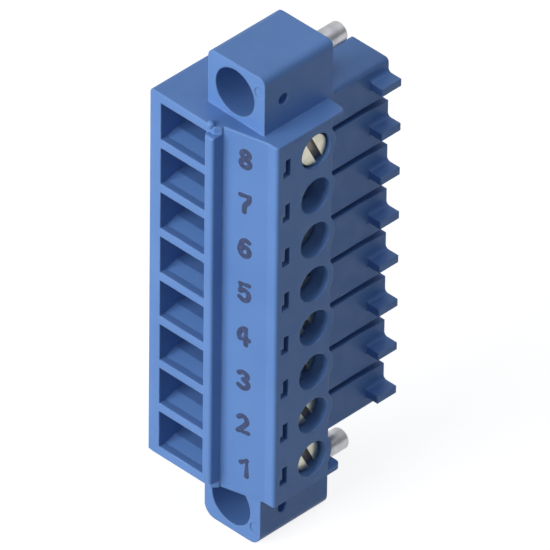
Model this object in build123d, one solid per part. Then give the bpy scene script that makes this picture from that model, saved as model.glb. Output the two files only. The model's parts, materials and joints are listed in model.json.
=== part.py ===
from build123d import *
import math
import os

# A pluggable terminal block: eight poles in a row, box clamps with slotted screws, a plug side with
# eight slotted segments, and a screw flange at each end. All sizes are millimetres.
# Working axes: X runs from the back face to the screw face, Y from the wire face to the plug tip,
# and Z up along the row, from the foot of the lower flange. The finished pieces are moved so that
# the origin lies under the middle of the whole part, on the surface that the lower flange stands on.

# Row of poles
pitch = 3.81
pole_count = 8
end_margin = 2.35          # outer pole axis to the end face of the block, at the back face
end_drafts = [0.0, 1.2]    # degrees that each end face leans in towards the screw face, lower first

# Block: its section across the row
block_thickness = 10.95    # back face to screw face
shoulder_y = 6.72          # wire face to the shoulder behind the screw holes
edge_facet_x = 0.57        # facet on the back edge of the wire face
edge_facet_y = 0.05
upper_back_radius = 0.4    # along the back edge of the upper end face
frame_width = 6.62         # back face to the step beside the wire windows
step_depth = 0.55          # wire face to the near edge of the label face
label_end_y = 1.42         # wire face to the far edge of the label face
label_strip_width = 0.9    # flat strip between the label face and the screw face
label_corner_radius = 0.25
block_edge = 0.06

# Raised bead between the wire windows and the label face
bead_width = 0.85
bead_proud = 0.5
bead_inset = 0.7           # end face of the block to the end of the bead
bead_round = 0.2
end_bevel = 0.42           # bevel on the wire face's edge beyond each end of the bead

# Wire windows
window_low_x = 1.12        # back face to the window
window_width = 4.38
window_height = 3.1
window_lip = 0.6           # depth of the mouth before its ramps
window_ramp = 0.3          # height of the ramp in the floor and the ceiling
window_ramp_end = 1.6      # wire face to the end of the ramps
wire_wall = 3.5            # wire face to the clamp chamber

# Screw holes and screws
screw_axis_y = 5.18        # wire face to the screw axes
screw_hole_diameter = 2.8
screw_boss_radius = 1.89
screw_head_diameter = 2.5
screw_head_height = 0.7
screw_slot_width = 0.5
screw_slot_depth = 0.38
screw_shank_diameter = 2.0
screw_edge = 0.1
# Head below the screw face and slot's angle from the row's line, pole 1 first
screw_depths = [0.6, 0.9, 1.2, 1.15, 1.35, 1.35, 1.5, 0.24]
screw_slot_angles = [27.0, 30.0, 24.0, 33.0, 75.0, 118.0, 48.0, 27.0]

# Test slots beside the screw holes
test_slot_y = 2.22         # wire face to the slot
test_slot_width = 0.52
test_slot_height = 1.5
test_notch_width = 0.24
test_notch_height = 0.55

# Plug side
plug_low_x = 4.55          # back face to the plug
plug_high_x = 8.28
plug_tip_y = 14.92         # wire face to the tip
plug_end_margin = 1.42     # outer pole axis to the end of the plug
plug_corner_radius = 0.35
segment_gap = 0.55
segment_gap_depth = 2.5
rib_height = 1.22
rib_width = 0.6
rib_length = 1.85
rib_root_radius = 0.3
socket_mouth = 1.5         # square opening for the mating pin
socket_mouth_chamfer = 0.25
socket_front_wall = 0.9

# End cheeks beside the outer screw holes
cheek_reach_y = 8.03
cheek_thickness = 0.45
cheek_web = 0.75           # height of the slanted web between the cheek and the outer boss
cheek_corner_radius = 0.45

# Screw flanges
flange_low_x = 3.85
flange_high_x = 9.3
flange_front_y = 1.8
flange_back_y = 8.64
flange_height = 4.5        # end face of the block to the end of the flange
flange_outer_radii = [1.0, 0.6]       # lower flange first
flange_back_edge = 0.25
flange_bore_x = 6.45
flange_bore_height = 2.07  # end face of the block to the bore axis
flange_bore_diameter = 3.74
flange_bore_floor_y = 7.2
cross_hole_diameter = 0.9
cross_hole_ys = [3.95, 3.59]
gate_mark_radius = 0.45
gate_mark_depth = 0.06
gate_mark_x = 2.3          # bore axis to the mark, towards the screw face
gate_mark_height = 1.1     # bore axis to the mark, away from the block

# Captive flange screws
flange_screw_diameter = 1.64         # free end
flange_screw_neck_diameter = 1.24    # thinner, through the flange's back wall
flange_hole_diameter = 2.5           # in the flange's back wall, loose round the neck
flange_screw_sags = [0.28, 0.1]      # bore axis to the axis of each loose screw, lower flange first
flange_screw_neck_inset = 0.05       # neck's end before the flange's back face
flange_screw_head_diameter = 3.0
flange_screw_head_height = 1.5
flange_screw_head_y = 5.3  # wire face to the top of the head
flange_screw_ends_y = [12.7, 12.0]     # wire face to the free end
flange_screw_slot_width = 0.6
flange_screw_slot_depth = 0.7
flange_screw_edge = 0.12
running_clearance = 0.05

# Box clamp inside the block
strip_thickness = 0.5      # current bar and spring socket
bar_low_x = 4.85
strip_width = 1.9
yoke_sheet = 0.5           # floor of the yoke
yoke_side = 0.4
yoke_collar = 0.9
yoke_width = 2.86
yoke_depth = 2.4
yoke_edge = 0.2
yoke_gap = 0.1             # between the open collar and the current bar
wire_space = 2.4           # between the open yoke's floor and the current bar
thread_pitch = 0.4
clamp_turns = 5.0
seat_gap = 0.05
yoke_rise_share = 0.65     # part of a loosened screw's rise that its yoke has followed
chamber_gap = 0.06         # between the yoke and its chamber

# Contact socket inside the plug
socket_tine = 0.3
socket_opening = 0.9       # between the tines
socket_tip_gap = 0.15
socket_bow = 0.18

match_tolerance = 0.001    # how closely an edge has to lie at a named place

# Derived places
block_length = (pole_count - 1) * pitch + 2 * end_margin
block_low_z = flange_height
block_high_z = block_low_z + block_length
plug_mid_x = (plug_low_x + plug_high_x) / 2
plug_low_z = block_low_z + end_margin - plug_end_margin
plug_high_z = block_high_z - end_margin + plug_end_margin
bar_high_x = bar_low_x + strip_thickness
clamp_travel = thread_pitch * clamp_turns
deepest_head = max(screw_depths)
screw_tip_x = bar_high_x + seat_gap
screw_length = block_thickness - deepest_head - screw_tip_x
collar_low_x = bar_high_x + yoke_gap
collar_high_x = collar_low_x + yoke_collar
yoke_floor_x = bar_low_x - wire_space
yoke_low_x = yoke_floor_x - yoke_sheet
chamber_low_x = yoke_low_x - chamber_gap
chamber_high_x = collar_high_x + clamp_travel + chamber_gap
chamber_depth = yoke_depth + 2 * chamber_gap
chamber_height = yoke_width + 2 * chamber_gap
flange_bore_zs = [flange_height - flange_bore_height, block_high_z + flange_bore_height]
cheek_corner = min(cheek_corner_radius, (cheek_reach_y - shoulder_y) / 2)
middle_x = block_thickness / 2
middle_y = (plug_tip_y - bead_proud) / 2


def pole_z(pole):
    return block_low_z + end_margin + pole * pitch


def screw_rise(pole):
    return deepest_head - screw_depths[pole]


def box_between(x0, x1, y0, y1, z0, z1):
    centre = Location(((x0 + x1) / 2, (y0 + y1) / 2, (z0 + z1) / 2))
    return centre * Box(x1 - x0, y1 - y0, z1 - z0)


def rod_along_x(x0, x1, y, z, radius):
    return Location(((x0 + x1) / 2, y, z), (0, 90, 0)) * Cylinder(radius, x1 - x0)


def rod_along_y(y0, y1, x, z, radius):
    return Location((x, (y0 + y1) / 2, z), (90, 0, 0)) * Cylinder(radius, y1 - y0)


def edges_at(shape, axis, place):
    return shape.edges().filter_by_position(axis, place - match_tolerance, place + match_tolerance)


def section_along_z(points, z0, z1):
    return Location((0, 0, z0)) * extrude(make_face(Polyline(points, close=True)), amount=z1 - z0)


# Housing, one moulded piece, built from its own features

def block_body():
    points = [(0, shoulder_y), (0, edge_facet_y), (edge_facet_x, 0), (frame_width, 0),
              (frame_width, step_depth), (block_thickness - label_strip_width, label_end_y),
              (block_thickness, label_end_y), (block_thickness, shoulder_y)]
    section = make_face(Polyline(points, close=True))
    label_corner = section.vertices().sort_by_distance((block_thickness, label_end_y, 0))[0]
    section = fillet(label_corner, label_corner_radius)
    return Location((0, 0, block_low_z)) * extrude(section, amount=block_length)


def end_taper():
    low_lean, high_lean = [block_thickness * math.tan(math.radians(draft)) for draft in end_drafts]
    points = [(0, block_low_z), (block_thickness, block_low_z + low_lean),
              (block_thickness, block_high_z - high_lean), (0, block_high_z)]
    section = make_face(Polyline(points, close=True))
    upper_back = section.vertices().sort_by_distance((0, block_high_z, 0))[0]
    outline = Plane.XZ * fillet(upper_back, upper_back_radius)
    return Location((0, cheek_reach_y, 0)) * extrude(outline, amount=cheek_reach_y)


def drafted_block():
    body = (block_body() + screw_bosses() + end_cheeks()) & end_taper()
    ends = body.faces().sort_by(Axis.Z)
    rims = ends[0].outer_wire().edges() + ends[-1].outer_wire().edges()
    return chamfer([edge for edge in rims if edge.center().X > upper_back_radius], block_edge)


def bead():
    strip = box_between(frame_width - bead_width, frame_width, -bead_proud, step_depth,
                        block_low_z + bead_inset, block_high_z - bead_inset)
    return fillet(edges_at(strip, Axis.Y, -bead_proud), bead_round)


def end_bevels():
    points = [(frame_width - end_bevel, 0), (frame_width, 0), (frame_width, end_bevel)]
    upper = section_along_z(points, block_high_z - bead_inset, block_high_z)
    return upper + section_along_z(points, block_low_z, block_low_z + bead_inset)


def screw_bosses():
    root = plug_high_x
    rods = [rod_along_x(root, block_thickness, screw_axis_y, pole_z(pole), screw_boss_radius)
            for pole in range(pole_count)]
    return sum(rods[1:], rods[0])


def end_cheek(end_z, inward):
    foot_y = screw_axis_y + screw_boss_radius / 2
    inner_z = end_z + inward * cheek_thickness
    web_z = inner_z + inward * cheek_web
    plate = box_between(plug_low_x, block_thickness, foot_y, cheek_reach_y,
                        min(end_z, inner_z), max(end_z, inner_z))
    plate = fillet(edges_at(plate, Axis.Y, cheek_reach_y).filter_by(Axis.Z), cheek_corner)
    points = [(foot_y, inner_z), (cheek_reach_y - cheek_corner, inner_z),
              (shoulder_y, web_z), (foot_y, web_z)]
    outline = Plane.YZ * make_face(Polyline(points, close=True))
    web_length = block_thickness - plug_low_x - 2 * cheek_corner
    web = Location((plug_low_x + cheek_corner, 0, 0)) * extrude(outline, amount=web_length)
    return plate + web


def end_cheeks():
    return end_cheek(block_high_z, -1) + end_cheek(block_low_z, 1)


def plug_body():
    body = box_between(plug_low_x, plug_high_x, shoulder_y - cheek_thickness, plug_tip_y,
                       plug_low_z, plug_high_z)
    body = fillet(body.edges().filter_by(Axis.Y), plug_corner_radius)
    for boundary in range(pole_count - 1):
        middle_z = pole_z(boundary) + pitch / 2
        body -= box_between(plug_high_x - segment_gap_depth, plug_high_x + segment_gap,
                            shoulder_y + cheek_thickness, plug_tip_y + segment_gap,
                            middle_z - segment_gap / 2, middle_z + segment_gap / 2)
    return body


def plug_rib(pole):
    root = rib_width / 2 + rib_root_radius
    tip_x = plug_high_x + rib_height
    root_x = plug_high_x + rib_root_radius
    with BuildLine() as outline:
        Polyline((plug_mid_x, -root), (plug_high_x, -root))
        RadiusArc((plug_high_x, -root), (root_x, -rib_width / 2), rib_root_radius)
        Polyline((root_x, -rib_width / 2), (tip_x, -rib_width / 2), (tip_x, rib_width / 2),
                 (root_x, rib_width / 2))
        RadiusArc((root_x, rib_width / 2), (plug_high_x, root), rib_root_radius)
        Polyline((plug_high_x, root), (plug_mid_x, root), (plug_mid_x, -root))
    tip = Plane((0, plug_tip_y, pole_z(pole)), x_dir=(1, 0, 0), z_dir=(0, -1, 0))
    return extrude(tip * make_face(outline.line), amount=rib_length)


def flange(end_z, outward, outer_radius):
    outer_z = end_z + outward * flange_height
    root_z = end_z - outward * end_margin / 2
    body = box_between(flange_low_x, flange_high_x, flange_front_y, flange_back_y,
                       min(root_z, outer_z), max(root_z, outer_z))
    body = fillet(edges_at(body, Axis.Z, outer_z).filter_by(Axis.Y), outer_radius)
    back = body.faces().sort_by(Axis.Y)[-1].edges()
    root = back.sort_by(Axis.Z)[0 if outward > 0 else -1]
    return chamfer([edge for edge in back if edge != root], flange_back_edge)


def flange_cuts(bore_z, outward, cross_hole_y):
    cuts = rod_along_y(flange_front_y - flange_height, flange_bore_floor_y, flange_bore_x, bore_z,
                       flange_bore_diameter / 2)
    cuts += rod_along_y(flange_front_y, flange_back_y + flange_height, flange_bore_x, bore_z,
                        flange_hole_diameter / 2)
    cuts += rod_along_x(flange_bore_x, flange_high_x + flange_height, cross_hole_y, bore_z,
                        cross_hole_diameter / 2)
    mark_z = bore_z + outward * gate_mark_height
    cuts += rod_along_y(flange_front_y - gate_mark_depth, flange_front_y + gate_mark_depth,
                        flange_bore_x + gate_mark_x, mark_z, gate_mark_radius)
    return cuts


def wire_window(pole):
    half = window_height / 2
    points = [(-bead_proud, -half), (window_lip, -half), (window_ramp_end, window_ramp - half),
              (wire_wall + chamber_gap, window_ramp - half), (wire_wall + chamber_gap, half - window_ramp),
              (window_ramp_end, half - window_ramp), (window_lip, half), (-bead_proud, half)]
    outline = Plane.YZ * make_face(Polyline(points, close=True))
    return Location((window_low_x, 0, pole_z(pole))) * extrude(outline, amount=window_width)


def clamp_chamber(pole):
    z = pole_z(pole)
    low_y = screw_axis_y - chamber_depth / 2
    high_y = screw_axis_y + chamber_depth / 2
    chamber = box_between(chamber_low_x, chamber_high_x, low_y, high_y,
                          z - chamber_height / 2, z + chamber_height / 2)
    entry = box_between(window_low_x, bar_high_x, wire_wall, high_y,
                        z - window_height / 2 + window_ramp, z + window_height / 2 - window_ramp)
    shaft = rod_along_x(bar_high_x, block_thickness + end_margin, screw_axis_y, z, screw_hole_diameter / 2)
    return chamber + entry + shaft


def test_slot(pole):
    z = pole_z(pole)
    low_z = z - test_slot_height / 2
    far_y = test_slot_y + test_slot_width
    outside_x = block_thickness + end_margin
    slot = box_between(chamber_high_x, outside_x, test_slot_y, far_y, low_z, z + test_slot_height / 2)
    notch = box_between(chamber_high_x, outside_x, test_slot_y - test_notch_width, far_y,
                        low_z, low_z + test_notch_height)
    return slot + notch


def contact_cavity(pole):
    z = pole_z(pole)
    half = strip_width / 2 + running_clearance
    reach = socket_opening / 2 + socket_tine + socket_bow + running_clearance
    cavity = box_between(plug_mid_x - reach, plug_mid_x + reach, shoulder_y, plug_tip_y - socket_front_wall,
                         z - half, z + half)
    root_low_y = contact_root_y() - running_clearance
    root_high_y = contact_root_y() + strip_thickness + running_clearance
    bar_way = box_between(bar_low_x - running_clearance, bar_high_x + running_clearance,
                          screw_axis_y, root_high_y, z - half, z + half)
    riser = box_between(bar_low_x - running_clearance, plug_mid_x + reach,
                        root_low_y, root_high_y, z - half, z + half)
    mouth_plane = Plane((plug_mid_x, plug_tip_y, z), x_dir=(1, 0, 0), z_dir=(0, -1, 0))
    wide = socket_mouth + 2 * socket_mouth_chamfer
    mouth = loft([mouth_plane * Rectangle(wide, wide),
                  mouth_plane.offset(socket_mouth_chamfer) * Rectangle(socket_mouth, socket_mouth)])
    channel = box_between(plug_mid_x - socket_mouth / 2, plug_mid_x + socket_mouth / 2,
                          plug_tip_y - socket_front_wall, plug_tip_y,
                          z - socket_mouth / 2, z + socket_mouth / 2)
    return cavity + bar_way + riser + mouth + channel


def contact_root_y():
    return shoulder_y + segment_gap


def housing():
    body = drafted_block() - end_bevels() + bead() + plug_body()
    for pole in range(pole_count):
        body += plug_rib(pole)
    body += flange(block_low_z, -1, flange_outer_radii[0]) + flange(block_high_z, 1, flange_outer_radii[1])
    for pole in range(pole_count):
        body -= wire_window(pole)
        body -= clamp_chamber(pole)
        body -= contact_cavity(pole)
        body -= test_slot(pole)
    body -= flange_cuts(flange_bore_zs[0], -1, cross_hole_ys[0])
    body -= flange_cuts(flange_bore_zs[1], 1, cross_hole_ys[1])
    return body


# Clamp screw: slotted cheese head over a shank that is threaded in the yoke's collar

def terminal_screw(pole):
    z = pole_z(pole)
    head_x = block_thickness - screw_depths[pole]
    neck_x = head_x - screw_head_height
    head = rod_along_x(neck_x, head_x, screw_axis_y, z, screw_head_diameter / 2)
    head = chamfer(edges_at(head, Axis.X, head_x), screw_edge)
    shank = rod_along_x(head_x - screw_length, neck_x, screw_axis_y, z, screw_shank_diameter / 2)
    slot = Location((head_x, screw_axis_y, z), (screw_slot_angles[pole], 0, 0)) * Box(
        2 * screw_slot_depth, screw_slot_width, 2 * screw_head_diameter)
    return head + shank - slot


# Box clamp: a bent strip with a thick threaded collar above the current bar

def clamp_yoke(pole):
    z = pole_z(pole)
    rise = yoke_rise_share * screw_rise(pole)
    frame = box_between(yoke_low_x + rise, collar_high_x + rise, screw_axis_y - yoke_depth / 2,
                        screw_axis_y + yoke_depth / 2, z - yoke_width / 2, z + yoke_width / 2)
    frame = chamfer(frame.edges().filter_by(Axis.Y), yoke_edge)
    window = box_between(yoke_floor_x + rise, collar_low_x + rise, screw_axis_y - yoke_depth,
                         screw_axis_y + yoke_depth, z - yoke_width / 2 + yoke_side,
                         z + yoke_width / 2 - yoke_side)
    thread = rod_along_x(collar_low_x, collar_high_x + 2 * rise, screw_axis_y, z,
                         screw_shank_diameter / 2 + running_clearance)
    return frame - window - thread


# Contact: current bar, riser and a two-tine spring socket, one strip

def contact(pole):
    z = pole_z(pole)
    root_y = contact_root_y()
    tip_y = plug_tip_y - socket_front_wall - socket_tip_gap
    low_x = plug_mid_x - socket_opening / 2 - socket_tine
    high_x = plug_mid_x + socket_opening / 2 + socket_tine
    bar_start_y = screw_axis_y - yoke_depth / 2
    bar = box_between(bar_low_x, bar_high_x, bar_start_y, root_y + strip_thickness, z - strip_width / 2,
                      z + strip_width / 2)
    riser = box_between(bar_low_x, high_x, root_y, root_y + strip_thickness, z - strip_width / 2,
                        z + strip_width / 2)
    body = bar + riser
    for outer_x, inward in ((low_x, 1), (high_x, -1)):
        inner_x = outer_x + inward * socket_tine
        middle_y = (root_y + tip_y) / 2
        with BuildLine() as tine:
            Polyline((outer_x, root_y), (inner_x, root_y))
            ThreePointArc((inner_x, root_y), (inner_x + inward * socket_bow, middle_y), (inner_x, tip_y))
            Polyline((inner_x, tip_y), (outer_x, tip_y))
            ThreePointArc((outer_x, tip_y), (outer_x + inward * socket_bow, middle_y), (outer_x, root_y))
        section = make_face(tine.line)
        body += Location((0, 0, z - strip_width / 2)) * extrude(section, amount=strip_width)
    return body


# Captive flange screw: slotted head in the bore, smooth end out of the back of the flange

def flange_screw(screw_z, end_y):
    head_end_y = flange_screw_head_y + flange_screw_head_height
    head = rod_along_y(flange_screw_head_y, head_end_y, flange_bore_x, screw_z,
                       flange_screw_head_diameter / 2)
    head = chamfer(edges_at(head, Axis.Y, flange_screw_head_y), flange_screw_edge)
    neck_end_y = flange_back_y - flange_screw_neck_inset
    neck = rod_along_y(head_end_y, neck_end_y, flange_bore_x, screw_z, flange_screw_neck_diameter / 2)
    free_end = rod_along_y(neck_end_y, end_y, flange_bore_x, screw_z, flange_screw_diameter / 2)
    free_end = chamfer(edges_at(free_end, Axis.Y, end_y), flange_screw_edge)
    slot = Location((flange_bore_x, flange_screw_head_y, screw_z)) * Box(
        flange_screw_slot_width, 2 * flange_screw_slot_depth, 2 * flange_screw_head_diameter)
    return head + neck + free_end - slot


def save(name, shape):
    placed = Location((-middle_x, -middle_y, 0)) * shape
    export_step(placed, f"parts/{name}.step")


os.makedirs("parts", exist_ok=True)
save("housing", housing())
for pole_index in range(pole_count):
    save(f"terminal_screw_{pole_index + 1}", terminal_screw(pole_index))
    save(f"clamp_yoke_{pole_index + 1}", clamp_yoke(pole_index))
    save(f"contact_{pole_index + 1}", contact(pole_index))
for end, flange_name in enumerate(("lower", "upper")):
    loose_z = flange_bore_zs[end] - flange_screw_sags[end]
    save(f"flange_screw_{flange_name}", flange_screw(loose_z, flange_screw_ends_y[end]))
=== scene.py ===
"""Looks of a pluggable eight-pole terminal block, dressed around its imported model."""
import json
import logging
import math
from dataclasses import dataclass, field
from enum import Enum

import bpy
from mathutils import Matrix, Vector

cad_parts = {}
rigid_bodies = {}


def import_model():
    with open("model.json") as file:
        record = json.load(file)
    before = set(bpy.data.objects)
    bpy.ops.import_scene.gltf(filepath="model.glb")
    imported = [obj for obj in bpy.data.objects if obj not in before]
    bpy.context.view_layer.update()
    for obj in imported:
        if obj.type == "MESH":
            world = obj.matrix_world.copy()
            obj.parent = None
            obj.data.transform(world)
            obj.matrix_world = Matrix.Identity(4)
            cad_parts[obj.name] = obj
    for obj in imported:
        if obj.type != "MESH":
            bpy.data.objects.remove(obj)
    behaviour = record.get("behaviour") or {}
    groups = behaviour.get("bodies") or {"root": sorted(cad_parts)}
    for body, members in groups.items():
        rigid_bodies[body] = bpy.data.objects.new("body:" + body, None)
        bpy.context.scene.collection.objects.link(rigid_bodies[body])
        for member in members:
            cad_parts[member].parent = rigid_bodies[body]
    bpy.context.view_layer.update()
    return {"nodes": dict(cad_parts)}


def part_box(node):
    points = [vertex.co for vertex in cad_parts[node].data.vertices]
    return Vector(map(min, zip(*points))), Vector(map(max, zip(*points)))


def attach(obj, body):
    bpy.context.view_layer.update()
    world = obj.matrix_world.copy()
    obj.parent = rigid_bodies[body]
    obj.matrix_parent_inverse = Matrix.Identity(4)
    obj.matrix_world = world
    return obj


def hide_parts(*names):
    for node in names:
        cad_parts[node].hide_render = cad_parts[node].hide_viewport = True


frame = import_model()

MM = 0.001
IMAGE_PIXELS = 550
SENSOR_MM = 36.0
TURNING = "turning"  # mesh attribute with places round a turned piece's axis
MERGE_MM = 1e-4  # points nearer than this are one
CORNER_ANGLE = math.radians(50)  # edges sharper than this are rounded
EDGE_MIDDLE = 1 / 3  # how far in the middle ring of a rounded edge lies, as a share of the edge
NOISE_CORE = (0.35, 0.65)  # most of a noise texture's values lie between these
NOISE_WIDE = (0.3, 0.7)  # nearly all of them lie between these
WHITE = (1.0, 1.0, 1.0, 1.0)
log = logging.getLogger("terminal_block")


class MixSocket(Enum):
    """Sockets of the Mix node when it mixes colours, by their index."""

    FACTOR = 0
    FIRST = 6
    SECOND = 7
    RESULT = 2


class Slot(Enum):
    """Material slots of the record."""

    PLASTIC = "housing_plastic"
    CLAMP_SCREW = "screw_nickel"
    FLANGE_SCREW = "flange_screw_steel"


# Shared helpers


def linear(hex_colour: str) -> tuple[float, float, float, float]:
    """Turns an sRGB hex colour to linear RGBA.

    Args:
        hex_colour: A colour such as "#4B73B9".

    Returns:
        Linear red, green, blue and an alpha of one.
    """
    values = [int(hex_colour[i:i + 2], 16) / 255 for i in (1, 3, 5)]
    red, green, blue = [v / 12.92 if v <= 0.04045 else ((v + 0.055) / 1.055) ** 2.4 for v in values]
    return red, green, blue, 1.0


def per_mm(size_mm: float) -> float:
    """Gives a texture's scale in object coordinates for a feature of that many millimetres."""
    return 1.0 / (size_mm * MM)


def add_node(
    tree: bpy.types.NodeTree,
    kind: str,
    settings: dict[str, object] | None = None,
    inputs: dict[str | int, object] | None = None,
) -> bpy.types.Node:
    """Adds one shader node with its settings, constants and links.

    Args:
        tree: The node tree that gets the node.
        kind: The node's type, such as "ShaderNodeBump".
        settings: The node's own properties by name.
        inputs: Constants, or sockets to link from, by input name or index.

    Returns:
        The new node.
    """
    node = tree.nodes.new(kind)
    for name, value in (settings or {}).items():
        setattr(node, name, value)
    for name, value in (inputs or {}).items():
        if isinstance(value, bpy.types.NodeSocket):
            tree.links.new(value, node.inputs[name])
        else:
            node.inputs[name].default_value = value
    return node


def new_material(name: str) -> tuple[bpy.types.Material, bpy.types.NodeTree]:
    """Makes an empty node material.

    Args:
        name: The material's name.

    Returns:
        The material and its node tree.
    """
    material = bpy.data.materials.new(name)
    material.use_nodes = True
    material.node_tree.nodes.clear()
    return material, material.node_tree


def finish_surface(tree: bpy.types.NodeTree, shader: bpy.types.NodeSocket) -> None:
    """Links a shader to the material's output.

    Args:
        tree: The material's node tree.
        shader: The shader's output.
    """
    add_node(tree, "ShaderNodeOutputMaterial", inputs={"Surface": shader})


def mix_colours(
    tree: bpy.types.NodeTree,
    factor: bpy.types.NodeSocket,
    first: object,
    second: object,
) -> bpy.types.NodeSocket:
    """Mixes two colours by a factor.

    Args:
        tree: The node tree.
        factor: 0 gives the first colour and 1 the second.
        first: A linear colour or a socket.
        second: A linear colour or a socket.

    Returns:
        The mixed colour.
    """
    node = add_node(
        tree,
        "ShaderNodeMix",
        {"data_type": "RGBA"},
        {MixSocket.FACTOR.value: factor, MixSocket.FIRST.value: first, MixSocket.SECOND.value: second},
    )
    return node.outputs[MixSocket.RESULT.value]


def spread(
    tree: bpy.types.NodeTree,
    value: bpy.types.NodeSocket,
    source: tuple[float, float],
    target: tuple[float, float],
) -> bpy.types.NodeSocket:
    """Maps a value from one range to another and holds it at the ends.

    Args:
        tree: The node tree.
        value: The value to map.
        source: Low and high end of the value's range.
        target: What the two ends become.

    Returns:
        The mapped value.
    """
    node = add_node(
        tree,
        "ShaderNodeMapRange",
        inputs={
            "Value": value,
            "From Min": source[0],
            "From Max": source[1],
            "To Min": target[0],
            "To Max": target[1],
        },
    )
    return node.outputs["Result"]


def combined(
    tree: bpy.types.NodeTree, operation: str, first: bpy.types.NodeSocket, second: bpy.types.NodeSocket
) -> bpy.types.NodeSocket:
    """Combines two values by a Math node's operation, such as "MULTIPLY"."""
    return add_node(tree, "ShaderNodeMath", {"operation": operation}, {0: first, 1: second}).outputs["Value"]


def seen_strength(
    tree: bpy.types.NodeTree, light: float, mirror: float | bpy.types.NodeSocket, camera: float
) -> bpy.types.NodeSocket:
    """Chooses how bright a surface or the world is by the kind of ray that meets it.

    Args:
        tree: The node tree.
        light: Strength for rays that gather light.
        mirror: Strength, or its socket, for reflected and transmitted rays.
        camera: Strength for the camera.

    Returns:
        The strength.
    """
    rays = add_node(tree, "ShaderNodeLightPath").outputs
    bent = combined(tree, "MAXIMUM", rays["Is Glossy Ray"], rays["Is Transmission Ray"])
    first = add_node(
        tree, "ShaderNodeMix", {"data_type": "FLOAT"}, {"Factor": bent, "A": light, "B": mirror}
    ).outputs["Result"]
    return add_node(
        tree,
        "ShaderNodeMix",
        {"data_type": "FLOAT"},
        {"Factor": rays["Is Camera Ray"], "A": first, "B": camera},
    ).outputs["Result"]


def select_only(piece: bpy.types.Object | None = None) -> None:
    """Deselects everything, then selects and activates one piece if it is given.

    Args:
        piece: The piece, or None to leave nothing selected.
    """
    for other in bpy.context.scene.objects:
        other.select_set(False)
    bpy.context.view_layer.objects.active = piece
    if piece:
        piece.select_set(True)


def new_piece(name: str) -> bpy.types.Object:
    """Names the object that a primitive has just made, and its mesh.

    Args:
        name: The piece's name.

    Returns:
        The named object.
    """
    piece = bpy.context.active_object
    piece.name = name
    piece.data.name = name
    return piece


def apply_modifier(piece: bpy.types.Object, kind: str, **settings: object) -> None:
    """Adds one modifier to a piece and applies it.

    Args:
        piece: The piece.
        kind: The modifier's type, such as "BEVEL".
        settings: The modifier's properties.
    """
    select_only(piece)
    modifier = piece.modifiers.new(kind.lower(), kind)
    for name, value in settings.items():
        setattr(modifier, name, value)
    bpy.ops.object.modifier_apply(modifier=modifier.name)


def cut_away(piece: bpy.types.Object, cutter: bpy.types.Object) -> None:
    """Takes a cutter's volume out of a piece and removes the cutter.

    Args:
        piece: The piece that is cut.
        cutter: A closed mesh.
    """
    apply_modifier(piece, "BOOLEAN", operation="DIFFERENCE", object=cutter, solver="EXACT")
    bpy.data.objects.remove(cutter)


def outward_normals(piece: bpy.types.Object) -> None:
    """Merges doubled points and turns all faces outwards.

    Args:
        piece: The piece, in millimetres.
    """
    select_only(piece)
    bpy.ops.object.mode_set(mode="EDIT")
    bpy.ops.mesh.select_all(action="SELECT")
    bpy.ops.mesh.remove_doubles(threshold=MERGE_MM)
    bpy.ops.mesh.normals_make_consistent(inside=False)
    bpy.ops.object.mode_set(mode="OBJECT")


def smooth(piece: bpy.types.Object, degrees: float) -> None:
    """Shades a piece smooth up to an angle between faces.

    Args:
        piece: The piece.
        degrees: Edges sharper than this stay sharp.
    """
    select_only(piece)
    bpy.ops.object.shade_smooth_by_angle(angle=math.radians(degrees))


def turned(name: str, stations: list[tuple[float, float]], segments: int) -> bpy.types.Object:
    """Builds a closed solid round Z from a disc that is extruded and resized ring by ring.

    Args:
        name: The piece's name.
        stations: Height and radius of each ring from the bottom up, in millimetres.
        segments: Faces round the axis.

    Returns:
        The solid, in millimetres.
    """
    (height, radius), *rings = stations
    select_only()
    bpy.ops.mesh.primitive_circle_add(
        vertices=segments, radius=radius, fill_type="NGON", location=(0, 0, 0)
    )
    piece = new_piece(name)
    bpy.ops.object.mode_set(mode="EDIT")
    bpy.ops.mesh.select_all(action="SELECT")
    bpy.ops.transform.translate(value=(0, 0, height))
    for next_height, next_radius in rings:
        bpy.ops.mesh.extrude_region_move(
            TRANSFORM_OT_translate={"value": (0, 0, next_height - height)}
        )
        ratio = next_radius / radius
        bpy.ops.transform.resize(value=(ratio, ratio, 1), center_override=(0, 0, next_height))
        height, radius = next_height, next_radius
    bpy.ops.object.mode_set(mode="OBJECT")
    outward_normals(piece)
    return piece


def block(name: str, low: Vector, high: Vector) -> bpy.types.Object:
    """Makes a box between two corners, as a cutter.

    Args:
        name: The box's name.
        low: Its lowest corner.
        high: Its highest corner.

    Returns:
        The box.
    """
    select_only()
    bpy.ops.mesh.primitive_cube_add(size=1.0, location=(low + high) / 2)
    piece = new_piece(name)
    piece.data.transform(Matrix.Diagonal((*(high - low), 1.0)))
    return piece


def settle(piece: bpy.types.Object, matrix: Matrix) -> None:
    """Puts a piece in its place in the row frame, with the place in its mesh.

    Args:
        piece: The piece, modelled in millimetres round its own origin.
        matrix: Where it goes, in metres, with the scale from millimetres left out.
    """
    piece.data.transform(piece.matrix_world)
    piece.matrix_world = Matrix.Identity(4)
    piece.data.transform(matrix @ Matrix.Scale(MM, 4))
    piece.data.update()


def dress(piece: bpy.types.Object, material: bpy.types.Material) -> None:
    """Gives a piece one material.

    Args:
        piece: The piece.
        material: Its material.
    """
    piece.data.materials.clear()
    piece.data.materials.append(material)


def report(piece: bpy.types.Object, body: str) -> None:
    """Logs a piece that has been built and the body that carries it."""
    log.info("%s rides on %s, %d faces", piece.name, body, len(piece.data.polygons))


# Finishes


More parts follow.
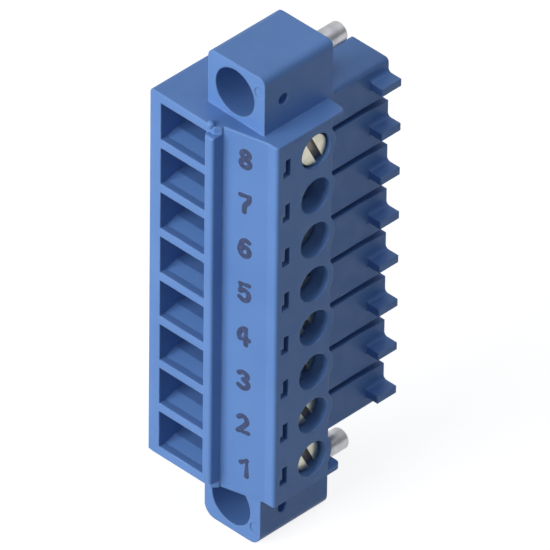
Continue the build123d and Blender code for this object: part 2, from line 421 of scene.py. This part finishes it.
@dataclass(frozen=True)
class MouldedPolyamide:
    """Injection-moulded polyamide, dyed blue.

    It is satin and slightly cloudy, has a fine spark-eroded grain, and its edges are a little
    rounded in the shading. A thin line of light along the edges is painted into the colour as a highlight,
    broken into streaks by noise.
    """

    name: str = "moulded_polyamide_blue"
    colour: str = "#638BC7"
    deep_colour: str = "#5D85C1"
    # painted highlight: a lighter colour along the edges, with its share, facing cosines and streak noise
    # set below
    painted_edge_highlight_colour: str = "#8CAEE2"
    cloud_mm: float = 7.0
    patch_mm: float = 0.9
    grain_mm: float = 0.14  # true grain is near 0.03 mm, drawn coarser so that it shows
    grain_depth_mm: float = 0.004
    highlight_streak_mm: float = 1.6
    edge_radius_mm: float = 0.17
    edge_facing: tuple[float, float] = (0.82, 0.99)  # cosines at the edge and where it fades out
    painted_edge_highlight_share: float = 0.5
    highlight_streak_values: tuple[float, float] = (0.42, 0.66)
    highlight_streak_gain: tuple[float, float] = (0.4, 1.6)
    roughness: tuple[float, float] = (0.40, 0.52)
    ior: float = 1.53
    specular_level: float = 0.28
    bump_strength: float = 0.5

    def material(self) -> bpy.types.Material:
        """Builds the material.

        Returns:
            The material.
        """
        material, tree = new_material(self.name)
        place = add_node(tree, "ShaderNodeTexCoord").outputs["Object"]
        cloud = add_node(
            tree,
            "ShaderNodeTexNoise",
            inputs={"Vector": place, "Scale": per_mm(self.cloud_mm), "Detail": 3.0},
        ).outputs["Fac"]
        body = mix_colours(
            tree,
            spread(tree, cloud, NOISE_CORE, (0.0, 1.0)),
            linear(self.colour),
            linear(self.deep_colour),
        )
        rounding = add_node(
            tree, "ShaderNodeBevel", {"samples": 6}, {"Radius": self.edge_radius_mm * MM}
        ).outputs["Normal"]
        facing = add_node(tree, "ShaderNodeNewGeometry").outputs["Normal"]
        flatness = add_node(
            tree, "ShaderNodeVectorMath", {"operation": "DOT_PRODUCT"}, {0: rounding, 1: facing}
        ).outputs["Value"]
        # Painted highlight: a lighter colour goes along the edges where the rounded normal turns away from
        # the face, and noise breaks it into brighter and fainter streaks.
        highlight_streaks = add_node(
            tree,
            "ShaderNodeTexNoise",
            inputs={"Vector": place, "Scale": per_mm(self.highlight_streak_mm), "Detail": 1.0},
        ).outputs["Fac"]
        edge = combined(
            tree,
            "MULTIPLY",
            spread(tree, flatness, self.edge_facing, (self.painted_edge_highlight_share, 0.0)),
            spread(tree, highlight_streaks, self.highlight_streak_values, self.highlight_streak_gain),
        )
        # the painted edge highlight is mixed into the body colour here
        colour = mix_colours(tree, edge, body, linear(self.painted_edge_highlight_colour))
        patches = add_node(
            tree,
            "ShaderNodeTexNoise",
            inputs={"Vector": place, "Scale": per_mm(self.patch_mm), "Detail": 2.0},
        ).outputs["Fac"]
        grain = add_node(
            tree,
            "ShaderNodeTexNoise",
            inputs={"Vector": place, "Scale": per_mm(self.grain_mm), "Detail": 2.0},
        ).outputs["Fac"]
        bump = add_node(
            tree,
            "ShaderNodeBump",
            inputs={
                "Height": grain,
                "Strength": self.bump_strength,
                "Distance": self.grain_depth_mm * MM,
                "Normal": rounding,
            },
        ).outputs["Normal"]
        shader = add_node(
            tree,
            "ShaderNodeBsdfPrincipled",
            inputs={
                "Base Color": colour,
                "Roughness": spread(tree, patches, NOISE_WIDE, self.roughness),
                "IOR": self.ior,
                "Specular IOR Level": self.specular_level,
                "Normal": bump,
            },
        ).outputs["BSDF"]
        finish_surface(tree, shader)
        return material


@dataclass(frozen=True)
class TurnedNickel:
    """Steel turned on a lathe and nickel plated.

    The turning leaves fine rings round the axis, and the slot in the head gets a darker, less metallic
    colour as painted shade.
    """

    name: str
    colour: str
    dull_colour: str
    head_radius_mm: float
    slot_depth_mm: float
    # painted shade in the head's slot: a darker, less metallic colour, with its reaches below the face, past
    # the floor and inside the rim
    slot_shade_colour: str = "#98928A"
    slot_shade_metallic: float = 0.3
    slot_shade_below_face_mm: tuple[float, float] = (0.14, 0.04)  # full and gone, below the head's face
    slot_shade_past_floor_mm: tuple[float, float] = (0.1, 0.05)  # gone and full, below the slot's floor
    slot_shade_inside_rim_mm: tuple[float, float] = (0.06, 0.02)  # full and gone, inside the head's rim
    ring_mm: float = 0.09  # true turning marks are near 0.03 mm, drawn coarser so that they show
    ring_depth_mm: float = 0.0025
    patch_mm: float = 0.8
    roughness: tuple[float, float] = (0.32, 0.42)
    bump_strength: float = 0.6

    def painted_slot_shade(
        self, tree: bpy.types.NodeTree, radius: bpy.types.NodeSocket, height: bpy.types.NodeSocket
    ) -> bpy.types.NodeSocket:
        """Finds the slot below the head's face, where shade is painted.

        Args:
            tree: The node tree.
            radius: Distance from the axis, in millimetres.
            height: Height above the head's face, in millimetres.

        Returns:
            1 inside the slot and 0 elsewhere.
        """
        face = tuple(-step for step in self.slot_shade_below_face_mm)
        floor = tuple(-self.slot_depth_mm - step for step in self.slot_shade_past_floor_mm)
        rim = tuple(self.head_radius_mm - step for step in self.slot_shade_inside_rim_mm)
        below_face = spread(tree, height, face, (1.0, 0.0))
        above_floor = spread(tree, height, floor, (0.0, 1.0))
        within_rim = spread(tree, radius, rim, (1.0, 0.0))
        within_slot = combined(tree, "MULTIPLY", below_face, above_floor)
        return combined(tree, "MULTIPLY", within_slot, within_rim)

    def material(self) -> bpy.types.Material:
        """Builds the material, which reads a place round the turning axis from the mesh.

        Returns:
            The material.
        """
        material, tree = new_material(self.name)
        place = add_node(tree, "ShaderNodeTexCoord").outputs["Object"]
        local = add_node(tree, "ShaderNodeAttribute", {"attribute_name": TURNING}).outputs["Vector"]
        parts = add_node(tree, "ShaderNodeSeparateXYZ", inputs={0: local}).outputs
        across = add_node(
            tree, "ShaderNodeCombineXYZ", inputs={"X": parts["X"], "Y": parts["Y"]}
        ).outputs["Vector"]
        radius = add_node(
            tree, "ShaderNodeVectorMath", {"operation": "LENGTH"}, {0: across}
        ).outputs["Value"]
        turning = add_node(
            tree, "ShaderNodeCombineXYZ", inputs={"X": radius, "Y": parts["Z"]}
        ).outputs["Vector"]
        patches = add_node(
            tree,
            "ShaderNodeTexNoise",
            inputs={"Vector": place, "Scale": per_mm(self.patch_mm), "Detail": 2.0},
        ).outputs["Fac"]
        rings = add_node(
            tree,
            "ShaderNodeTexNoise",
            inputs={"Vector": turning, "Scale": 1.0 / self.ring_mm, "Detail": 2.0},
        ).outputs["Fac"]
        bump = add_node(
            tree,
            "ShaderNodeBump",
            inputs={"Height": rings, "Strength": self.bump_strength, "Distance": self.ring_depth_mm * MM},
        ).outputs["Normal"]
        plating = mix_colours(
            tree,
            spread(tree, patches, NOISE_CORE, (0.0, 1.0)),
            linear(self.colour),
            linear(self.dull_colour),
        )
        # painted shade: the slot gets a darker colour and less metallic reflection
        painted_slot_shade = self.painted_slot_shade(tree, radius, parts["Z"])
        colour = mix_colours(tree, painted_slot_shade, plating, linear(self.slot_shade_colour))
        shader = add_node(
            tree,
            "ShaderNodeBsdfPrincipled",
            inputs={
                "Base Color": colour,
                "Metallic": spread(tree, painted_slot_shade, (0.0, 1.0), (1.0, self.slot_shade_metallic)),
                "Roughness": spread(tree, patches, NOISE_WIDE, self.roughness),
                "Normal": bump,
            },
        ).outputs["BSDF"]
        finish_surface(tree, shader)
        return material


@dataclass(frozen=True)
class RolledStrip:
    """Metal strip, rolled, stamped and plated, with faint lines along the rolling direction."""

    name: str
    colour: str
    dull_colour: str
    line_mm: float = 0.08
    line_length_mm: float = 2.5
    line_depth_mm: float = 0.002
    patch_mm: float = 1.2
    roughness: tuple[float, float] = (0.34, 0.5)
    bump_strength: float = 0.4

    def material(self) -> bpy.types.Material:
        """Builds the material with the rolling direction along Y.

        Returns:
            The material.
        """
        material, tree = new_material(self.name)
        place = add_node(tree, "ShaderNodeTexCoord").outputs["Object"]
        squeeze = self.line_mm / self.line_length_mm
        along = add_node(
            tree, "ShaderNodeMapping", inputs={"Vector": place, "Scale": (1.0, squeeze, 1.0)}
        ).outputs["Vector"]
        lines = add_node(
            tree,
            "ShaderNodeTexNoise",
            inputs={"Vector": along, "Scale": per_mm(self.line_mm), "Detail": 2.0},
        ).outputs["Fac"]
        patches = add_node(
            tree,
            "ShaderNodeTexNoise",
            inputs={"Vector": place, "Scale": per_mm(self.patch_mm), "Detail": 3.0},
        ).outputs["Fac"]
        bump = add_node(
            tree,
            "ShaderNodeBump",
            inputs={"Height": lines, "Strength": self.bump_strength, "Distance": self.line_depth_mm * MM},
        ).outputs["Normal"]
        shader = add_node(
            tree,
            "ShaderNodeBsdfPrincipled",
            inputs={
                "Base Color": mix_colours(
                    tree,
                    spread(tree, patches, NOISE_CORE, (0.0, 1.0)),
                    linear(self.colour),
                    linear(self.dull_colour),
                ),
                "Metallic": 1.0,
                "Roughness": spread(tree, lines, NOISE_WIDE, self.roughness),
                "Normal": bump,
            },
        ).outputs["BSDF"]
        finish_surface(tree, shader)
        return material


@dataclass(frozen=True)
class PadPrintInk:
    """Pad-printed ink, thin and matt, so that the blue shows through it in places."""

    name: str = "pad_print_ink_dark"
    colour: str = "#2C3A5E"
    thin_colour: str = "#3C4E7E"
    speck_mm: float = 0.22
    thin_values: tuple[float, float] = (0.45, 0.7)
    roughness: float = 0.6
    ior: float = 1.48

    def material(self) -> bpy.types.Material:
        """Builds the material.

        Returns:
            The material.
        """
        material, tree = new_material(self.name)
        place = add_node(tree, "ShaderNodeTexCoord").outputs["Object"]
        cover = add_node(
            tree,
            "ShaderNodeTexNoise",
            inputs={"Vector": place, "Scale": per_mm(self.speck_mm), "Detail": 3.0},
        ).outputs["Fac"]
        colour = mix_colours(
            tree,
            spread(tree, cover, self.thin_values, (0.0, 1.0)),
            linear(self.colour),
            linear(self.thin_colour),
        )
        shader = add_node(
            tree,
            "ShaderNodeBsdfPrincipled",
            inputs={"Base Color": colour, "Roughness": self.roughness, "IOR": self.ior},
        ).outputs["BSDF"]
        finish_surface(tree, shader)
        return material


@dataclass(frozen=True)
class StudioWhite:
    """Matt white studio paper that shows white to the camera and keeps the soft shadow."""

    name: str = "matt_white_paper"
    albedo: str = "#929292"
    glow: float = 0.86
    roughness: float = 0.5

    def material(self) -> bpy.types.Material:
        """Builds the material.

        Returns:
            The material.
        """
        material, tree = new_material(self.name)
        strength = seen_strength(tree, 0.0, self.glow, self.glow)
        glow = add_node(
            tree, "ShaderNodeEmission", inputs={"Color": WHITE, "Strength": strength}
        ).outputs["Emission"]
        paper = add_node(
            tree, "ShaderNodeBsdfDiffuse", inputs={"Color": linear(self.albedo), "Roughness": self.roughness}
        ).outputs["BSDF"]
        both = add_node(tree, "ShaderNodeAddShader", inputs={0: paper, 1: glow}).outputs["Shader"]
        finish_surface(tree, both)
        return material


# The terminal block's sub-assemblies


@dataclass(frozen=True)
class Layout:
    """Places on the housing, in millimetres.

    X runs from the back face to the screw face, Y from the wire face to the plug tip, and Z up
    from the foot of the lower flange.
    """

    pole_count: int = 8
    pitch: float = 3.81
    flange_height: float = 4.5
    end_margin: float = 2.35
    bead_proud: float = 0.5

    def pole_z(self, number: int) -> float:
        """Middle of a pole, counted from 1."""
        return self.flange_height + self.end_margin + (number - 1) * self.pitch

    def row_point(self, x: float, y: float, z: float) -> Vector:
        """Turns a place on the housing to a point in the row frame, in metres."""
        low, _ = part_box("housing")
        return low + Vector((x, y + self.bead_proud, z)) * MM


@dataclass
class PoleNumbers:
    """Numbers of the poles, pad-printed on the slanted label face."""

    layout: Layout
    stroke_mm: float = 0.42
    ink_mm: float = 0.02
    voxel_mm: float = 0.035
    cap_segments: int = 16
    cap_rings: int = 8
    width_mm: float = 0.8
    height_mm: float = 1.38
    centre_x: float = 8.32
    centre_rise: float = 0.1
    face_start: tuple[float, float] = (6.62, 0.55)
    face_end: tuple[float, float] = (10.05, 1.42)
    # Each stroke lists points in a box of one by one. A point with True is a corner.
    strokes: dict[int, list[list[tuple[float, float, bool]]]] = field(
        default_factory=lambda: {
            1: [[(-0.16, 0.3, True), (0.4, 0.5, True), (0.4, -0.5, True)]],
            2: [[(-0.45, 0.36, False), (-0.08, 0.5, False), (0.4, 0.22, False), (0.1, -0.12, False),
                 (-0.5, -0.5, True), (0.5, -0.5, True)]],
            3: [[(-0.45, 0.4, False), (-0.02, 0.5, False), (0.42, 0.27, False), (-0.02, 0.03, True),
                 (0.48, -0.22, False), (0.0, -0.5, False), (-0.48, -0.36, False)]],
            4: [[(0.2, -0.5, True), (0.2, 0.5, True), (0.02, 0.5, False), (-0.46, 0.1, False),
                 (-0.4, -0.17, True), (0.5, -0.17, True)]],
            5: [[(0.44, 0.5, True), (-0.38, 0.5, True), (-0.4, 0.04, True), (0.06, 0.14, False),
                 (0.46, -0.18, False), (0.04, -0.5, False), (-0.46, -0.34, False)]],
            6: [[(0.42, 0.42, False), (0.02, 0.5, False), (-0.42, 0.1, False), (-0.38, -0.32, False),
                 (0.04, -0.5, False), (0.46, -0.2, False), (0.06, 0.08, False), (-0.4, -0.12, False)]],
            7: [[(-0.46, 0.5, True), (0.42, 0.5, True), (0.38, 0.24, False), (-0.02, -0.12, False),
                 (-0.08, -0.5, True)]],
            8: [[(0.0, 0.03, False), (-0.38, 0.27, False), (0.0, 0.5, False), (0.38, 0.27, False),
                 (0.0, 0.03, False), (-0.45, -0.24, False), (0.0, -0.5, False), (0.45, -0.24, False),
                 (0.0, 0.03, False)]],
        }
    )

    def stroke_curve(self, number: int, points: list[tuple[float, float, bool]]) -> bpy.types.Object:
        """Draws one stroke of a number as a round tube in millimetres.

        Args:
            number: The pole's number.
            points: The stroke's points.

        Returns:
            The tube as a mesh with round ends.
        """
        select_only()
        bpy.ops.curve.primitive_bezier_curve_add(location=(0, 0, 0))
        curve = new_piece(f"stroke_{number}")
        spline = curve.data.splines[0]
        spline.bezier_points.add(len(points) - 2)
        for point, (x, y, corner) in zip(spline.bezier_points, points):
            point.co = (x * self.width_mm, y * self.height_mm, 0.0)
            point.handle_left_type = point.handle_right_type = "VECTOR" if corner else "AUTO"
        curve.data.bevel_depth = self.stroke_mm / 2
        curve.data.bevel_resolution = 4
        curve.data.resolution_u = 10
        curve.data.use_fill_caps = True
        select_only(curve)
        bpy.ops.object.convert(target="MESH")
        tube = bpy.context.active_object
        corners = [point for point in points if point[2]] + [points[0], points[-1]]
        for x, y, _ in dict.fromkeys(corners):
            bpy.ops.mesh.primitive_uv_sphere_add(
                segments=self.cap_segments,
                ring_count=self.cap_rings,
                radius=self.stroke_mm / 2,
                location=(x * self.width_mm, y * self.height_mm, 0.0),
            )
            tube.select_set(True)
            bpy.context.view_layer.objects.active = tube
            bpy.ops.object.join()
        return tube

    def face_matrix(self, number: int) -> Matrix:
        """Gives where a number lies on the label face, in metres.

        Args:
            number: The pole's number.

        Returns:
            The number's place and turn.
        """
        (x0, y0), (x1, y1) = self.face_start, self.face_end
        right = Vector((x1 - x0, y1 - y0, 0)).normalized()
        up = Vector((0, 0, 1))
        out = right.cross(up)
        y = y0 + (self.centre_x - x0) * (y1 - y0) / (x1 - x0)
        middle = self.layout.row_point(self.centre_x, y, self.layout.pole_z(number) + self.centre_rise)
        turn = Matrix((right, up, out)).transposed().to_4x4()
        return Matrix.Translation(middle) @ turn

    def build(self, ink: bpy.types.Material) -> None:
        """Prints every number.

        Args:
            ink: The ink's material.
        """
        for number, strokes in self.strokes.items():
            tubes = [self.stroke_curve(number, points) for points in strokes]
            digit = tubes[0]
            digit.name = f"pole_number_{number}"
            apply_modifier(digit, "REMESH", mode="VOXEL", voxel_size=self.voxel_mm)
            apply_modifier(digit, "SMOOTH", factor=0.5, iterations=3)
            digit.data.transform(Matrix.Diagonal((1, 1, 2 * self.ink_mm / self.stroke_mm, 1)))
            settle(digit, self.face_matrix(number))
            smooth(digit, 60.0)
            dress(digit, ink)
            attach(digit, "housing")
            report(digit, "housing")


@dataclass
class HousingDetails:
    """The moulded housing's finish, and the small nub on the upper edge of its wire face."""

    layout: Layout
    nub_radius: float = 0.32
    nub_rings: int = 16
    nub_segments: int = 32
    nub_place: tuple[float, float, float] = (5.85, 0.12, 35.75)

    def nub(self) -> bpy.types.Object:
        """Models the nub as a small ball that is half sunk in the housing.

        Returns:
            The nub, in its place.
        """
        angles = [math.pi * (ring / self.nub_rings - 0.5) for ring in range(1, self.nub_rings)]
        radius = self.nub_radius
        stations = [(radius * math.sin(angle), radius * math.cos(angle)) for angle in angles]
        nub = turned("frame_nub", stations, self.nub_segments)
        x, y, z = self.nub_place
        settle(nub, Matrix.Translation(self.layout.row_point(x, y, z)))
        return nub

    def build(self, plastic: bpy.types.Material) -> None:
        """Adds the nub and dresses the housing.

        Args:
            plastic: The housing's material.
        """
        dress(frame["nodes"]["housing"], plastic)
        nub = self.nub()
        smooth(nub, 50.0)
        dress(nub, plastic)
        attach(nub, "housing")
        report(nub, "housing")


def map_turning(piece: bpy.types.Object, top: float) -> None:
    """Keeps each point's place round the turning axis on the mesh, in millimetres.

    Args:
        piece: A turned piece, in millimetres round Z.
        top: Height of the head's face, which becomes zero.
    """
    mesh = piece.data
    places = mesh.attributes.new(TURNING, "FLOAT_VECTOR", "POINT")
    for vertex in mesh.vertices:
        places.data[vertex.index].vector = vertex.co - Vector((0, 0, top))


def round_corners(piece: bpy.types.Object, width: float) -> None:
    """Rounds a piece's sharp edges a little.

    Args:
        piece: The piece, in millimetres.
        width: How far the rounding reaches from the edge.
    """
    apply_modifier(
        piece,
        "BEVEL",
        width=width,
        segments=2,
        limit_method="ANGLE",
        angle_limit=CORNER_ANGLE,
        use_clamp_overlap=True,
    )


def slotted(piece: bpy.types.Object, width: float, depth: float, top: float, reach: float) -> None:
    """Saws a straight slot across the top of a turned piece, along Y.

    Args:
        piece: The piece, in millimetres round Z.
        width: The slot's width.
        depth: The slot's depth.
        top: Height of the head's face.
        reach: Half the length of the cut.
    """
    low = Vector((-width / 2, -reach, top - depth))
    cut_away(piece, block("slot", low, Vector((width / 2, reach, top + depth))))


@dataclass
class ClampScrew:
    """Slotted cheese-head screw of one pole, with a right-hand thread below its head."""

    number: int
    slot_degrees: float
    head_height: float = 0.7
    edge: float = 0.1
    slot_width: float = 0.64
    slot_depth: float = 0.38
    thread_radius: float = 1.0
    core_radius: float = 0.8
    thread_pitch: float = 0.4
    thread_half_width: float = 0.176
    lead_in: float = 0.15
    segments: int = 64
    thread_steps: int = 20
    corner: float = 0.03

    @property
    def name(self) -> str:
        """The CAD node and body of this screw."""
        return f"terminal_screw_{self.number}"

    def thread(self, start: float, end: float) -> bpy.types.Object:
        """Winds the thread's ridge between two heights.

        Args:
            start: Lower end, in millimetres.
            end: Upper end.

        Returns:
            A closed helical ridge.
        """
        select_only()
        bpy.ops.mesh.primitive_circle_add(vertices=3, radius=1.0, fill_type="NOTHING")
        ridge = new_piece("thread")
        inner = self.core_radius - self.edge / 2
        half = self.thread_half_width
        for vertex, point in zip(
            ridge.data.vertices, ((inner, 0, -half), (self.thread_radius, 0, 0), (inner, 0, half))
        ):
            vertex.co = point
        turns = int((end - start) / self.thread_pitch)
        ridge.data.transform(Matrix.Translation((0, 0, start)))
        apply_modifier(
            ridge,
            "SCREW",
            axis="Z",
            angle=2 * math.pi,
            screw_offset=self.thread_pitch,
            iterations=turns,
            steps=self.thread_steps,
            render_steps=self.thread_steps,
        )
        select_only(ridge)
        bpy.ops.object.mode_set(mode="EDIT")
        bpy.ops.mesh.select_all(action="SELECT")
        bpy.ops.mesh.fill_holes(sides=3)
        bpy.ops.object.mode_set(mode="OBJECT")
        outward_normals(ridge)
        return ridge

    def build(self, nickel: bpy.types.Material) -> None:
        """Models the screw in the place of its CAD node.

        Args:
            nickel: The screw's material.
        """
        low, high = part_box(self.name)
        length = (high.x - low.x) / MM
        radius = (high.y - low.y) / 2 / MM
        neck = length - self.head_height
        screw = turned(
            self.name + "_turned",
            [
                (0.0, self.core_radius - self.lead_in),
                (self.lead_in, self.core_radius),
                (neck, self.core_radius),
                (neck, radius),
                (length - self.edge, radius),
                (length - self.edge * EDGE_MIDDLE, radius - self.edge * EDGE_MIDDLE),
                (length, radius - self.edge),
                (length, radius / 2),
            ],
            self.segments,
        )
        slotted(screw, self.slot_width, self.slot_depth, length, 2 * radius)
        round_corners(screw, self.corner)
        ridge = self.thread(self.lead_in + self.thread_pitch / 2, neck - self.thread_pitch / 2)
        select_only(screw)
        ridge.select_set(True)
        bpy.ops.object.join()
        map_turning(screw, length)
        along_x = Matrix.Rotation(math.pi / 2, 4, "Y")
        turn = Matrix.Rotation(math.radians(self.slot_degrees), 4, "X")
        middle = Vector((low.x, (low.y + high.y) / 2, (low.z + high.z) / 2))
        settle(screw, Matrix.Translation(middle) @ turn @ along_x @ Matrix.Rotation(math.pi / 2, 4, "Z"))
        smooth(screw, 30.0)
        dress(screw, nickel)
        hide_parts(self.name)
        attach(screw, self.name)
        report(screw, self.name)


@dataclass
class FlangeScrew:
    """Captive screw of one flange, with its slotted head in the bore and a smooth end behind."""

    end: str
    head_height: float = 1.5
    neck_radius: float = 0.62
    neck_end: float = 3.29  # head's face to the end of the neck
    free_radius: float = 0.82
    edge: float = 0.2
    slot_width: float = 0.6
    slot_depth: float = 0.7
    segments: int = 72
    corner: float = 0.035

    @property
    def name(self) -> str:
        """The CAD node and body of this screw."""
        return f"flange_screw_{self.end}"

    def build(self, nickel: bpy.types.Material) -> None:
        """Models the screw in the place of its CAD node.

        Args:
            nickel: The screw's material.
        """
        low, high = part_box(self.name)
        length = (high.y - low.y) / MM
        radius = (high.x - low.x) / 2 / MM
        shoulder = length - self.head_height
        neck = length - self.neck_end
        screw = turned(
            self.name + "_turned",
            [
                (0.0, self.free_radius / 2),
                (0.0, self.free_radius - self.edge),
                (self.edge * EDGE_MIDDLE, self.free_radius - self.edge * EDGE_MIDDLE),
                (self.edge, self.free_radius),
                (neck, self.free_radius),
                (neck, self.neck_radius),
                (shoulder, self.neck_radius),
                (shoulder, radius),
                (length - self.edge, radius),
                (length - self.edge * EDGE_MIDDLE, radius - self.edge * EDGE_MIDDLE),
                (length, radius - self.edge),
                (length, radius / 2),
            ],
            self.segments,
        )
        slotted(screw, self.slot_width, self.slot_depth, length, 2 * radius)
        round_corners(screw, self.corner)
        map_turning(screw, length)
        along_y = Matrix.Rotation(math.pi / 2, 4, "X")
        middle = Vector(((low.x + high.x) / 2, high.y, (low.z + high.z) / 2))
        settle(screw, Matrix.Translation(middle) @ along_y)
        smooth(screw, 30.0)
        dress(screw, nickel)
        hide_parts(self.name)
        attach(screw, self.name)
        report(screw, self.name)


@dataclass
class ClampParts:
    """Yokes and contact strips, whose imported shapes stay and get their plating."""

    layout: Layout

    def build(self, yoke: bpy.types.Material, strip: bpy.types.Material) -> None:
        """Dresses every yoke and contact.

        Args:
            yoke: The yokes' material.
            strip: The contacts' material.
        """
        for number in range(1, self.layout.pole_count + 1):
            dress(frame["nodes"][f"clamp_yoke_{number}"], yoke)
            dress(frame["nodes"][f"contact_{number}"], strip)


# Studio


@dataclass(frozen=True)
class SoftLamp:
    """Square soft lamp that the camera doesn't see."""

    name: str
    direction: tuple[float, float, float]  # from the object to the lamp
    level: float  # what it adds to a white face turned towards it
    distance: float = 0.6
    size: float = 0.45

    def build(self, centre: Vector) -> None:
        """Hangs the lamp.

        Args:
            centre: The point that it is aimed at.
        """
        toward = Vector(self.direction).normalized()
        data = bpy.data.lights.new(self.name, "AREA")
        data.shape = "SQUARE"
        data.size = self.size
        # A lamp of P watts gives P / (pi * distance^2) straight ahead, and white shows that over pi.
        data.energy = self.level * math.pi * math.pi * self.distance * self.distance
        lamp = bpy.data.objects.new(self.name, data)
        bpy.context.scene.collection.objects.link(lamp)
        lamp.location = centre + toward * self.distance
        lamp.rotation_mode = "QUATERNION"
        lamp.rotation_quaternion = toward.to_track_quat("Z", "Y")
        lamp.visible_camera = False


@dataclass
class Studio:
    """White floor, soft lamps and a camera at the product's viewing angle."""

    azimuth: float = 44.47
    elevation: float = 37.53
    roll: float = 0.65
    distance: float = 1.162
    focal_pixels: float = 16863.0
    centre: tuple[float, float, float] = (0.000175, -0.00021, 0.020185)
    centre_pixel: tuple[float, float] = (278.27, 261.37)
    clip: tuple[float, float] = (0.05, 20.0)
    floor_size: float = 8.0
    ambient: float = 0.21
    ambient_colour: str = "#E2EDFF"  # cool, as daylight in the shade is
    dark_direction: tuple[float, float, float] = (0.8, 0.57, 0.08)
    dark_spread: tuple[float, float] = (0.6, 0.97)  # cosines of the dark side's outer and inner rim
    dark_level: float = 0.2
    lamps: tuple[SoftLamp, ...] = (
        SoftLamp("key_lamp", (-0.15, -0.93, 0.3), 1.14),
        SoftLamp("top_lamp", (0.1, 0.1, 1.0), 0.24),
    )

    def camera(self) -> None:
        """Places the camera, aimed so that it needs no shift."""
        azimuth, elevation = math.radians(self.azimuth), math.radians(self.elevation)
        roll = math.radians(self.roll)
        forward = Vector(
            (
                -math.sin(azimuth) * math.cos(elevation),
                math.cos(azimuth) * math.cos(elevation),
                -math.sin(elevation),
            )
        )
        level = Vector((math.cos(azimuth), math.sin(azimuth), 0))
        raised = level.cross(forward)
        right = math.cos(roll) * level + math.sin(roll) * raised
        up = math.cos(roll) * raised - math.sin(roll) * level
        metres_per_pixel = self.distance / self.focal_pixels
        across = (IMAGE_PIXELS / 2 - self.centre_pixel[0]) * metres_per_pixel
        down = (IMAGE_PIXELS / 2 - self.centre_pixel[1]) * metres_per_pixel
        target = Vector(self.centre) + right * across - up * down
        data = bpy.data.cameras.new("camera")
        data.sensor_width = SENSOR_MM
        data.lens = self.focal_pixels / IMAGE_PIXELS * SENSOR_MM
        data.clip_start, data.clip_end = self.clip
        camera = bpy.data.objects.new("camera", data)
        bpy.context.scene.collection.objects.link(camera)
        place = Matrix((right, up, -forward)).transposed().to_4x4()
        place.translation = target - forward * self.distance
        camera.matrix_world = place
        bpy.context.scene.camera = camera

    def floor(self, paper: bpy.types.Material) -> None:
        """Lays the floor.

        Args:
            paper: The floor's material.
        """
        select_only()
        bpy.ops.mesh.primitive_plane_add(size=self.floor_size, location=(0, 0, 0))
        floor = new_piece("studio_floor")
        dress(floor, paper)

    def world(self) -> None:
        """Gives even ambient light, white to the camera, with a darker side for mirrors to show."""
        world = bpy.data.worlds.new("studio_world")
        bpy.context.scene.world = world
        world.use_nodes = True
        tree = world.node_tree
        tree.nodes.clear()
        toward = add_node(tree, "ShaderNodeTexCoord").outputs["Generated"]
        facing = add_node(
            tree,
            "ShaderNodeVectorMath",
            {"operation": "DOT_PRODUCT"},
            {0: toward, 1: tuple(Vector(self.dark_direction).normalized())},
        ).outputs["Value"]
        mirror = spread(tree, facing, self.dark_spread, (1.0, self.dark_level))
        strength = seen_strength(tree, self.ambient, mirror, 1.0)
        rays = add_node(tree, "ShaderNodeLightPath").outputs
        seen = combined(tree, "MAXIMUM", rays["Is Camera Ray"], rays["Is Glossy Ray"])
        colour = mix_colours(tree, seen, linear(self.ambient_colour), WHITE)
        light = add_node(
            tree, "ShaderNodeBackground", inputs={"Color": colour, "Strength": strength}
        ).outputs["Background"]
        add_node(tree, "ShaderNodeOutputWorld", inputs={"Surface": light})

    def build(self) -> None:
        """Sets up the whole studio."""
        bpy.context.scene.view_settings.view_transform = "Standard"
        self.camera()
        self.floor(StudioWhite().material())
        for lamp in self.lamps:
            lamp.build(Vector(self.centre))
        self.world()


SLOT_DEGREES = {1: 27.0, 2: 30.0, 3: 24.0, 4: 33.0, 5: 75.0, 6: 118.0, 7: 48.0, 8: 27.0}


def main() -> None:
    """Builds the studio and dresses each sub-assembly."""
    logging.basicConfig(level=logging.INFO, format="%(name)s: %(message)s")
    layout = Layout()
    Studio().build()
    plastic = MouldedPolyamide().material()
    nickel = TurnedNickel("nickel_plated_turned_steel", "#CCCAB9", "#BFBCAA", 1.25, 0.38).material()
    bright = TurnedNickel("bright_nickel_turned_steel", "#BFC1C5", "#ADAFB4", 1.5, 0.7).material()
    yoke = RolledStrip("zinc_plated_steel_strip", "#B9BBBC", "#9C9E9F").material()
    strip = RolledStrip("tin_plated_copper_strip", "#C9C5BA", "#AFA998").material()
    HousingDetails(layout).build(plastic)
    PoleNumbers(layout).build(PadPrintInk().material())
    ClampParts(layout).build(yoke, strip)
    for number, degrees in SLOT_DEGREES.items():
        ClampScrew(number, degrees).build(nickel)
    for end in ("lower", "upper"):
        FlangeScrew(end).build(bright)


if __name__ == "__main__":
    main()
